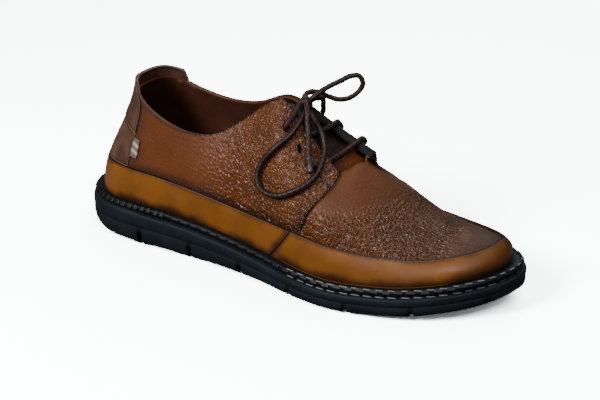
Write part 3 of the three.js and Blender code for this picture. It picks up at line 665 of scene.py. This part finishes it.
def tumble_group():
    """Tumbled grain: round pebbles with narrow valleys between them, and finer wrinkles over them."""
    group = bpy.data.node_groups.new("Tumbled grain", "ShaderNodeTree")
    group.interface.new_socket("Place", in_out="INPUT", socket_type="NodeSocketVector")
    group.interface.new_socket("Size", in_out="INPUT", socket_type="NodeSocketFloat")
    group.interface.new_socket("Height", in_out="OUTPUT", socket_type="NodeSocketFloat")
    group.interface.new_socket("Valley", in_out="OUTPUT", socket_type="NodeSocketFloat")
    start, end = group.nodes.new("NodeGroupInput"), group.nodes.new("NodeGroupOutput")
    scale = maths(group, "DIVIDE", 1.0, start.outputs["Size"])
    place, size = start.outputs["Place"], start.outputs["Size"]

    def vectors(operation, inputs):
        return add_node(group, "VectorMath", inputs, operation=operation).outputs[0]

    def crackle(scale, randomness):
        inputs = {"Vector": warped, "Scale": scale, "Randomness": randomness}
        return add_node(group, "TexVoronoi", inputs, feature="DISTANCE_TO_EDGE").outputs["Distance"]

    coarse = maths(group, "MULTIPLY", scale, 0.5)
    shake = add_node(group, "TexNoise", {"Vector": place, "Scale": coarse, "Detail": 1.0}).outputs["Color"]
    centred = vectors("SUBTRACT", {0: shake, 1: (0.5, 0.5, 0.5)})
    push = vectors("SCALE", {0: centred, "Scale": maths(group, "MULTIPLY", size, 0.45)})
    # The hide is drawn out down the shoe's sides, so the pebbles are longer that way.
    lean = (0.4, 0.0, -0.92)
    along = add_node(group, "VectorMath", {0: place, 1: lean}, operation="DOT_PRODUCT").outputs["Value"]
    pull = vectors("SCALE", {0: lean, "Scale": maths(group, "MULTIPLY", along, -0.42)})
    warped = vectors("ADD", {0: vectors("ADD", {0: place, 1: pull}), 1: push})
    cells = crackle(scale, 0.7)
    pebble = fade(group, cells, 0.0, 0.5)
    wrinkle = fade(group, crackle(maths(group, "MULTIPLY", scale, 2.3), 1.0), 0.0, 0.3)
    height = maths(group, "ADD", maths(group, "MULTIPLY", pebble, 0.93), maths(group, "MULTIPLY", wrinkle, 0.07))
    group.links.new(height, end.inputs["Height"])
    group.links.new(fade(group, cells, 0.0, 0.14, 1.0, 0.0), end.inputs["Valley"])
    return group


tumbled_grain = tumble_group()


# Dark brown for the painted shade in the pebbles' valleys, and for the darker marks.
valley_shade_and_darker_brown = (20, 8, 3)


def tumbled_leather(name, strength, tones, darker):
    """Tumbled leather. Strength, tones and darker make their values from the tree and the place's parts."""
    made, tree, shader = new_material(name, Specular_IOR_Level=0.38)
    place = add_node(tree, "TexCoord").outputs["Object"]
    parts = add_node(tree, "SeparateXYZ", {0: place}).outputs
    grain = use_group(tree, tumbled_grain, Place=place, Size=2.0 * mm)
    fine = use_group(tree, fine_grain, Place=place, Size=0.45 * mm)
    force = strength(tree, parts)
    colour = tint(tree, fade(tree, fine["Blotch"], 0.34, 0.66), *tones(tree, parts))
    # The valleys between the pebbles are painted darker: painted shade.
    valley_shade = maths(tree, "MULTIPLY", maths(tree, "MULTIPLY", grain["Valley"], force), 0.6)
    colour = tint(tree, valley_shade, colour, valley_shade_and_darker_brown)
    colour = tint(tree, darker(tree, parts), colour, valley_shade_and_darker_brown)
    pebbles = maths(tree, "MULTIPLY", grain["Height"], force)
    height = maths(tree, "ADD", pebbles, maths(tree, "MULTIPLY", fine["Height"], 0.04))
    gloss = fade(tree, force, 0.2, 0.8, 0.5, 0.22)
    roughness = maths(tree, "ADD", gloss, maths(tree, "MULTIPLY", fine["Blotch"], 0.08))
    finish_surface(tree, shader, colour, roughness, height, 1.0 * mm)
    return made


def vamp_strength(tree, parts):
    # The pebbles are deep low on the vamp's sides and nearly brushed out on its top and toward the toe.
    low = fade(tree, parts[2], 44 * mm, 60 * mm, 1.0, 0.16)
    back = fade(tree, parts[0], 96 * mm, 128 * mm, 1.0, 0.2)
    return maths(tree, "MULTIPLY", low, back)


def vamp_tones(tree, parts):
    ahead = fade(tree, parts[0], 40 * mm, 120 * mm)
    return tint(tree, ahead, (98, 50, 8), (84, 44, 12)), tint(tree, ahead, (90, 45, 8), (70, 36, 10))


def vamp_dark(tree, parts):
    toe = fade(tree, parts[0], 104 * mm, 136 * mm, 0.0, 0.7)
    rim = fade(tree, attribute(tree, "rim"), 0.3 * mm, 1.6 * mm, 0.35, 0.0)
    return maths(tree, "MAXIMUM", toe, rim)


def lining(name, light, dark, edge_colour=(98, 58, 36)):
    """Thin dull leather for the inside, the cut edges and the folds. Ahead of the throat it is painted darker, as
    painted shade.
    """
    made, tree, shader = new_material(name, Specular_IOR_Level=0.22)
    place = add_node(tree, "TexCoord").outputs["Object"]
    fine = use_group(tree, fine_grain, Place=place, Size=0.5 * mm)
    colour = tint(tree, fade(tree, fine["Blotch"], 0.3, 0.7), dark, light)
    # The rim is lighter: partly the cut edge's paler colour, partly a painted highlight along the folded edges.
    edge = fade(tree, attribute(tree, "rim"), 0.1 * mm, 0.7 * mm, 0.6, 0.0)
    colour = tint(tree, edge, colour, edge_colour)
    # Ahead of the throat the colour goes to the dark tone: painted shade.
    ahead = fade(tree, add_node(tree, "SeparateXYZ", {0: place}).outputs[0], 0.0, 22 * mm)
    colour = tint(tree, ahead, colour, dark)
    finish_surface(tree, shader, colour, fade(tree, fine["Height"], 0.3, 0.7, 0.5, 0.66), fine["Height"], 0.1 * mm)
    return made


vamp_leather = tumbled_leather("vamp_leather", vamp_strength, vamp_tones, vamp_dark)
lining_leather = lining("lining_leather", (66, 33, 20), (50, 24, 14))


def coat_by_side(piece, outer, inner):
    """The outer face gets one material, and the inner face and the cut edges the other."""
    coat_pieces(outer, piece)
    piece.data.materials.append(inner)
    for polygon in piece.data.polygons:
        polygon.material_index = 0 if faces_out(polygon.center, polygon.normal) else 1


# The inner facing and the shoulder in front of it lie a little flatter than the last, as worn in by the laces.
facing_sags = (
    ([(10, 17, 98), (24, 18.5, 90), (36, 20, 82), (46, 22, 75)], 22, 2.4),
    ([(46, 24, 72), (53, 27, 65)], 18, 3.6),
)
for sag in facing_sags:
    press(upper, *sag, even=True)
# Two short upright wrinkles stand in the lining beside the heel, as the photograph shows.
press(upper, [(-98, 19, 78), (-99, 20.5, 86), (-98.5, 20.5, 93)], 3, 0.8)
press(upper, [(-90, 22.5, 78), (-91, 23.4, 84), (-90.6, 23.2, 90)], 2.6, 0.6)
coat_by_side(upper, vamp_leather, lining_leather)

# Insole
# A thin sheet of cloth over foam, glued to the welt inside the upper.
insole = fine_copy("insole", "footbed_cloth", 1)
thread_pitch = 0.9 * mm
footbed, tree, shader = new_material("footbed_cloth", Sheen_Weight=0.3)
place = add_node(tree, "TexCoord").outputs["Object"]
parts = add_node(tree, "SeparateXYZ", {0: place}).outputs
warp, weft = (ridges(tree, maths(tree, "DIVIDE", part, thread_pitch)) for part in parts[:2])
weave = maths(tree, "MULTIPLY", warp, weft)
# The weave is painted darker where the threads sink: painted shade.
colour = tint(tree, weave, (40, 26, 20), (66, 44, 35))
finish_surface(tree, shader, colour, fade(tree, weave, 0.0, 1.0, 0.8, 0.6), weave, 0.2 * mm)
coat_pieces(footbed, insole)

# Rand
# A band of smooth tan leather round the foot of the upper, in two lengths that lap at mid-foot. Its edges
# are burnished dark by hand, and one row of dark thread holds its top edge in a groove.
upper_tree = surface_tree(upper)


def slide_on_upper(vertex, way):
    """Moves a panel's vertex some way along the upper, at its own height over it."""
    spot, normal, _, _ = upper_tree.find_nearest(vertex.co)
    height = (vertex.co - spot).dot(normal)
    spot, normal, _, _ = upper_tree.find_nearest(vertex.co + way)
    vertex.co = spot + normal * height


rand_rear = fine_copy("rand_rear", "tan_leather", 2)
rand_front = fine_copy("rand_front", "tan_leather", 2)
rands = (rand_rear, rand_front)
# On the toe's inner side the rand's top edge lies a little lower than the solid's.
rand_drop = 3.2 * mm
for vertex in rand_front.data.vertices:
    ahead, inner, up = (
        min(1, max(0, (value / mm - start) / reach))
        for value, start, reach in zip(vertex.co, (45, 4, 24), (25, 18, 12))
    )
    drop = rand_drop * ahead * inner * up
    if drop > 0:
        slide_on_upper(vertex, Vector((0, 0, -drop)))
for piece in rands:
    rims = rim_edges(piece)
    foot = rim_points(rims, lambda middle, inward: inward.z > 0.25)
    top = rim_points(rims, lambda middle, inward: inward.z < -0.25)
    ends = rim_points(rims, lambda middle, inward: abs(inward.z) <= 0.25)
    spread(piece, "foot", foot, 14 * mm)
    spread(piece, "top", top, 14 * mm)
    spread(piece, "ends", ends or top, 14 * mm)

rand_leather, tree, shader = new_material("burnished_tan_leather", Specular_IOR_Level=0.36)
place = add_node(tree, "TexCoord").outputs["Object"]
parts = add_node(tree, "SeparateXYZ", {0: place}).outputs
fine = use_group(tree, fine_grain, Place=place, Size=0.45 * mm)
cloud = add_node(tree, "TexNoise", {"Vector": place, "Scale": 55.0, "Detail": 3.0}).outputs[0]
colour = tint(tree, fade(tree, cloud, 0.35, 0.65), (116, 68, 18), (128, 77, 22))
wander = maths(tree, "MULTIPLY", maths(tree, "SUBTRACT", cloud, 0.5), 9 * mm)
foot_way = maths(tree, "ADD", attribute(tree, "foot"), wander)
colour = tint(tree, fade(tree, foot_way, 0.0, 6.5 * mm, 0.9, 0.0), colour, (34, 14, 5))
top_way = maths(tree, "ADD", attribute(tree, "top"), maths(tree, "MULTIPLY", wander, 0.5))
colour = tint(tree, fade(tree, top_way, 0.8 * mm, 3.5 * mm, 0.5, 0.0), colour, (48, 19, 6))
tip_way = fade(tree, parts[0], 112 * mm, 140 * mm, 0.0, 0.55)
colour = tint(tree, tip_way, colour, (58, 29, 10))
colour = tint(tree, fade(tree, attribute(tree, "ends"), 0.1 * mm, 0.8 * mm, 0.7, 0.0), colour, (34, 15, 6))
# A thin dark line in the seam's groove under the top edge is painted shade; the bump also sinks it.
seam_way = maths(tree, "ABSOLUTE", maths(tree, "SUBTRACT", attribute(tree, "top"), 0.4 * mm))
groove = fade(tree, seam_way, 0.2 * mm, 0.8 * mm, 1.0, 0.0)
colour = tint(tree, maths(tree, "MULTIPLY", groove, 0.8), colour, (16, 6, 3))
# A thin light line along the foot edge, ahead of mid-foot, is a painted highlight.
foot_edge = fade(tree, attribute(tree, "foot"), 0.1 * mm, 0.6 * mm, 0.6, 0.0)
painted_foot_highlight = maths(tree, "MULTIPLY", foot_edge, fade(tree, parts[0], 10 * mm, 30 * mm))
colour = tint(tree, painted_foot_highlight, colour, (150, 100, 50))
height = maths(tree, "SUBTRACT", maths(tree, "MULTIPLY", fine["Height"], 0.12), groove)
finish_surface(tree, shader, colour, fade(tree, fine["Blotch"], 0.3, 0.7, 0.36, 0.5), height, 0.45 * mm)
coat_pieces(rand_leather, *rands)


def stitch_form(length, width, height):
    """One short stitch, as a small long bead of thread."""
    bm = bmesh.new()
    bmesh.ops.create_uvsphere(bm, u_segments=6, v_segments=5, radius=0.5)
    bmesh.ops.scale(bm, vec=(length * mm, width * mm, height * mm), verts=bm.verts)
    for face in bm.faces:
        face.smooth = True
    mesh = bpy.data.meshes.new("stitch")
    bm.to_mesh(mesh)
    bm.free()
    return mesh


def rim_rows(piece, slot, wanted, inset, pitch, form, lift):
    """Stitches along the rims that are wanted, each set down on the piece a little way in, as one piece."""
    links = {}
    for a, b, start, end, inward, _ in rim_edges(piece):
        if wanted((start + end) / 2, inward):
            links.setdefault(a, []).append((b, start, end, inward))
            links.setdefault(b, []).append((a, end, start, inward))
    tree = surface_tree(piece)
    bm, used = bmesh.new(), set()
    for first in sorted(links, key=lambda v: (len(links[v]), v)):
        here, walked, goal = first, 0.0, pitch / 2
        while True:
            step = next((link for link in links[here] if frozenset((here, link[0])) not in used), None)
            if step is None:
                break
            other, start, end, inward = step
            used.add(frozenset((here, other)))
            span = (end - start).length
            while goal < walked + span:
                point = start.lerp(end, (goal - walked) / span) + inward * inset
                spot, facing, _, _ = tree.find_nearest(point)
                set_down(bm, form, spot + facing * lift, end - start, facing)
                goal += pitch
            walked += span
            here = other
    return add_piece(piece.name.replace("_skin", "_stitches"), bm, slot)


dark_thread, tree, shader = new_material("dark_thread")
place = add_node(tree, "TexCoord").outputs["Object"]
twist = add_node(tree, "TexNoise", {"Vector": place, "Scale": 2600.0, "Detail": 2.0}).outputs[0]
colour = tint(tree, twist, (34, 18, 12), (70, 42, 28))
finish_surface(tree, shader, colour, fade(tree, twist, 0.3, 0.7, 0.45, 0.65), twist, 0.1 * mm)
rand_stitch = stitch_form(2.6, 0.6, 0.5)
rand_seams = [
    rim_rows(piece, "tan_leather", lambda middle, inward: inward.z < -0.25, 1.5 * mm, 3.3 * mm, rand_stitch, -0.15 * mm)
    for piece in rands
]
coat_pieces(dark_thread, *rand_seams)

# Quarters
# The side panels, of the same tumbled leather as the vamp but smooth towards the heel. They lap over the vamp
# with an open front edge, carry three punched eyelets each, and are left bare where a mark could be.
quarter_outer = fine_copy("quarter_outer", "grain_leather", 2)
quarter_inner = fine_copy("quarter_inner", "grain_leather", 2)
quarters = (quarter_outer, quarter_inner)
for sag in facing_sags:
    press(quarter_inner, *sag, even=True)

# The outer quarter's lower front corner runs further forward than the solid's, along the upper.
corner_reach = ((43, 13.0), (46, 8.5), (50, 5.0), (57, 4.0), (70, 1.5), (75, 0.0))
for vertex in quarter_outer.data.vertices:
    level = vertex.co.z / mm
    reach = corner_reach[0][1] if level < corner_reach[0][0] else 0.0
    for (low, more), (high, less) in zip(corner_reach, corner_reach[1:]):
        if low <= level < high:
            reach = more + (less - more) * (level - low) / (high - low)
    ahead = min(1.0, max(0.0, (vertex.co.x / mm + 8) / 30))
    reach *= ahead * ahead * (3 - 2 * ahead) * mm
    if reach > 0:
        slide_on_upper(vertex, Vector((reach, 0, 0)))
for piece in quarters:
    rims = rim_edges(piece)
    spread(piece, "rim", rim_points(rims), 12 * mm)
    spread(piece, "foot", rim_points(rims, lambda middle, inward: middle.z < 53 * mm and inward.z > 0.3), 16 * mm)


def quarter_strength(tree, parts):
    return fade(tree, parts[0], -66 * mm, 8 * mm, 0.1, 1.0)


def quarter_tones(tree, parts):
    back = fade(tree, parts[0], -70 * mm, 20 * mm)
    return tint(tree, back, (98, 46, 2), (112, 62, 26)), tint(tree, back, (90, 41, 2), (98, 53, 22))


def quarter_dark(tree, parts):
    foot = fade(tree, attribute(tree, "foot"), 0.5 * mm, 7 * mm, 0.7, 0.0)
    rim = fade(tree, attribute(tree, "rim"), 0.2 * mm, 1.3 * mm, 0.8, 0.0)
    heel = fade(tree, parts[0], -98 * mm, -84 * mm, 0.45, 0.0)
    return maths(tree, "MAXIMUM", maths(tree, "MAXIMUM", foot, rim), heel)


quarter_leather = tumbled_leather("quarter_leather", quarter_strength, quarter_tones, quarter_dark)
edge_leather = lining("cut_edge_leather", (84, 46, 24), (26, 14, 9), (104, 66, 42))
# Near black, for the fold's dark face and the painted shade in the throat.
fold_and_shade_leather = lining("folded_edge_and_shade_leather", (16, 12, 12), (9, 7, 7), (9, 7, 7))
# Grey, as a painted highlight along the fold's top.
top_highlight_leather = lining("painted_top_highlight_leather", (96, 94, 92), (78, 75, 73), (78, 75, 73))
for piece in quarters:
    coat_by_side(piece, quarter_leather, edge_leather)

# A near-black strip along the inner facing's edge stands for its thick folded edge and dark inner face, and for the
# painted shade in the throat beneath it.
fold_pitch = 4 * mm
fold = {}
for _, _, a, b, inward, normal in rim_edges(quarter_inner):
    middle = (a + b) / 2
    if inward.y > 0.35 and 5 * mm < middle.x < 44 * mm and middle.z > 66 * mm:
        part = int(middle.x / fold_pitch)
        if part not in fold or middle.z > fold[part][0].z:
            fold[part] = (middle, inward, normal)
fold_in = sum((fold[part][1] for part in fold), Vector()).normalized()
fold_up = sum((fold[part][2] for part in fold), Vector()).normalized()
fold_knots = [fold[part][0] / mm for part in sorted(fold)]
fold_knots = [(a + b + c) / 3 for a, b, c in zip(fold_knots, fold_knots[1:], fold_knots[2:])]
fold_knots.append(fold_knots[-1] + (fold_knots[-1] - fold_knots[-3]).normalized() * 13)
fold_line = smooth_route(fold_knots, 1.5 * mm)
fold_profile = ((-1.3, 0.1), (-0.9, 0.55), (0.2, 0.6), (0.7, 0.2), (0.7, -4.6), (0.3, -5), (-0.9, -5), (-1.3, -4.6))
bm = bmesh.new()
fold_rings = []
for point in fold_line:
    fold_rings.append([bm.verts.new(point + fold_in * (side * mm) + fold_up * (up * mm)) for side, up in fold_profile])
for ring, after in zip(fold_rings, fold_rings[1:]):
    for k in range(len(fold_profile)):
        m = (k + 1) % len(fold_profile)
        bm.faces.new((ring[k], ring[m], after[m], after[k]))
bm.faces.new(fold_rings[0])
bm.faces.new(fold_rings[-1])
bmesh.ops.recalc_face_normals(bm, faces=bm.faces)
for face in bm.faces:
    face.smooth = True
facing_fold_and_shade = add_piece("inner_facing_fold_and_shade", bm, "dark_leather")
coat_pieces(fold_and_shade_leather, facing_fold_and_shade)
# The top strips of the fold are painted grey: a painted highlight along its edge.
facing_fold_and_shade.data.materials.append(top_highlight_leather)
sides = len(fold_profile)
top_strips = (0, 1)
for polygon in facing_fold_and_shade.data.polygons:
    on_top = polygon.index < (len(fold_rings) - 1) * sides and polygon.index % sides in top_strips
    polygon.material_index = 1 if on_top else 0
front_stitch = stitch_form(2.2, 0.55, 0.5)
quarter_seams = [
    rim_rows(
        piece, "grain_leather", lambda middle, inward: middle.x > 24 * mm and inward.x < -0.2,
        1.8 * mm, 2.9 * mm, front_stitch, 0.05 * mm,
    )
    for piece in quarters
]
coat_pieces(dark_thread, *quarter_seams)

# Backstay and heel tab
# Smooth dark leather over the back seam, with a stiff tab above it that stands clear of the collar.
# Its cut edges show the pale fibre of the hide.
backstay = fine_copy("backstay", "dark_leather", 2)
heel_tab = fine_copy("heel_tab", "dark_leather", 2)
for piece in (backstay, heel_tab):
    spread(piece, "rim", rim_points(rim_edges(piece)), 8 * mm)

tab_leather, tree, shader = new_material("smooth_dark_leather", Specular_IOR_Level=0.35)
place = add_node(tree, "TexCoord").outputs["Object"]
fine = use_group(tree, fine_grain, Place=place, Size=0.5 * mm)
cloud = add_node(tree, "TexNoise", {"Vector": place, "Scale": 70.0, "Detail": 3.0}).outputs[0]
colour = tint(tree, fade(tree, cloud, 0.35, 0.65), (72, 48, 36), (96, 68, 53))
colour = tint(tree, fade(tree, attribute(tree, "rim"), 0.7 * mm, 2.6 * mm, 0.6, 0.0), colour, (34, 20, 14))
colour = tint(tree, fade(tree, attribute(tree, "rim"), 0.1 * mm, 0.7 * mm, 0.8, 0.0), colour, (124, 98, 80))
finish_surface(tree, shader, colour, fade(tree, fine["Blotch"], 0.3, 0.7, 0.34, 0.48), fine["Height"], 0.1 * mm)
coat_pieces(tab_leather, backstay, heel_tab)

# Ribbon
# A short woven tape with two pale and several dark stripes, caught under the backstay's front edge.
ribbon = fine_copy("ribbon", "ribbon_cloth", 2)
low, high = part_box("ribbon")
woven, tree, shader = new_material("striped_ribbon", Sheen_Weight=0.3)
place = add_node(tree, "TexCoord").outputs["Object"]
parts = add_node(tree, "SeparateXYZ", {0: place}).outputs
ahead = maths(tree, "MULTIPLY", maths(tree, "SUBTRACT", parts[0], low[0]), 0.5)
slope = maths(tree, "ADD", maths(tree, "SUBTRACT", parts[2], low[2]), ahead)
stripe = maths(tree, "DIVIDE", slope, 1.25 * (high[2] - low[2]))
bands = add_node(tree, "ValToRGB", {"Fac": stripe})
bands.color_ramp.interpolation = "CONSTANT"
cream, tan, black = (190, 158, 134), (98, 60, 40), (30, 16, 12)
stripes = [
    (0.0, (36, 20, 14)), (0.3, cream), (0.43, black), (0.47, tan),
    (0.51, (28, 15, 12)), (0.55, tan), (0.6, cream), (0.74, (32, 18, 14)),
]
for k, (spot, shade) in enumerate(stripes):
    band = bands.color_ramp.elements[k] if k < 2 else bands.color_ramp.elements.new(spot)
    band.position = spot
    band.color = linear(shade)
threads = ridges(tree, maths(tree, "DIVIDE", parts[2], 0.5 * mm))
# The threads' ridges are tinted a little towards near white: a painted sheen.
colour = tint(tree, maths(tree, "MULTIPLY", threads, 0.15), bands.outputs[0], (255, 240, 220))
finish_surface(tree, shader, colour, fade(tree, threads, 0.0, 1.0, 0.8, 0.65), threads, 0.15 * mm)
coat_pieces(woven, ribbon)

# Tongue
# A soft leather flap under the facings, of the vamp's reddish brown, with a dark top edge. Behind the throat's front it
# is painted near black, as painted shade.
tongue = fine_copy("tongue", "dark_leather", 2)
for sag in facing_sags:
    press(tongue, *sag, even=True)
spread(tongue, "rim", rim_points(rim_edges(tongue)), 8 * mm)
tongue_leather, tree, shader = new_material("tongue_leather", Specular_IOR_Level=0.25)
place = add_node(tree, "TexCoord").outputs["Object"]
parts = add_node(tree, "SeparateXYZ", {0: place}).outputs
grain = use_group(tree, tumbled_grain, Place=place, Size=1.5 * mm)
fine = use_group(tree, fine_grain, Place=place, Size=0.5 * mm)
colour = tint(tree, fade(tree, fine["Blotch"], 0.3, 0.7), (98, 50, 12), (92, 46, 10))
# Behind the throat's front the tongue is painted near black: painted shade.
colour = tint(tree, fade(tree, parts[0], 30 * mm, 39 * mm, 0.93, 0.0), colour, (12, 7, 6))
colour = tint(tree, fade(tree, attribute(tree, "rim"), 0.2 * mm, 1.2 * mm, 0.6, 0.0), colour, (30, 18, 14))
finish_surface(tree, shader, colour, fade(tree, fine["Blotch"], 0.3, 0.7, 0.4, 0.55), grain["Height"], 0.18 * mm)
coat_pieces(tongue_leather, tongue)

# Floor and light
# A plain pale floor without an edge in view, a white surround, and broad soft lights from above.
bm = bmesh.new()
bmesh.ops.create_grid(bm, x_segments=1, y_segments=1, size=4)
floor_mesh = bpy.data.meshes.new("floor")
bm.to_mesh(floor_mesh)
bm.free()
floor = bpy.data.objects.new("floor", floor_mesh)
bpy.context.collection.objects.link(floor)
floor_finish, tree, shader = new_material("pale_floor", Roughness=0.8, Specular_IOR_Level=0.0)
place = add_node(tree, "TexCoord").outputs["Object"]
soft = add_node(tree, "TexNoise", {"Vector": place, "Scale": 2.0}).outputs[0]
tree.links.new(tint(tree, soft, (96, 98, 100), (98, 100, 102)), shader.inputs["Base Color"])
# The photograph's paper is printed to white, so the floor is lit more strongly for the camera than for the shoe.
paper = add_node(tree, "BsdfDiffuse", {"Color": (9.4, 10.0, 10.0, 1)})
seen = add_node(tree, "LightPath").outputs["Is Camera Ray"]
shown = add_node(tree, "MixShader", {0: seen, 1: shader.outputs[0], 2: paper.outputs[0]})
tree.links.new(shown.outputs[0], tree.nodes["Material Output"].inputs[0])
coat_pieces(floor_finish, floor)

world = bpy.data.worlds.new("surround")
world.use_nodes = True
world.node_tree.nodes["Background"].inputs["Color"].default_value = (0.97, 0.99, 1.0, 1)
world.node_tree.nodes["Background"].inputs["Strength"].default_value = 0.13
bpy.context.scene.world = world
lamps = (
    ("front_softbox", (-0.34, -0.98, 0.78), 0.38, 17.0),
    ("toe_softbox", (0.6, -0.5, 1.0), 0.5, 6.0),
    ("back_softbox", (-0.1, 0.8, 1.0), 0.9, 6.0),
)
for name, spot, width, power in lamps:
    lamp = bpy.data.lights.new(name, "AREA")
    lamp.size = width
    lamp.energy = power
    holder = bpy.data.objects.new(name, lamp)
    holder.location = spot
    holder.rotation_mode = "QUATERNION"
    holder.rotation_quaternion = (Vector((0, 0, 0.04)) - Vector(spot)).to_track_quat("-Z", "Y")
    bpy.context.collection.objects.link(holder)
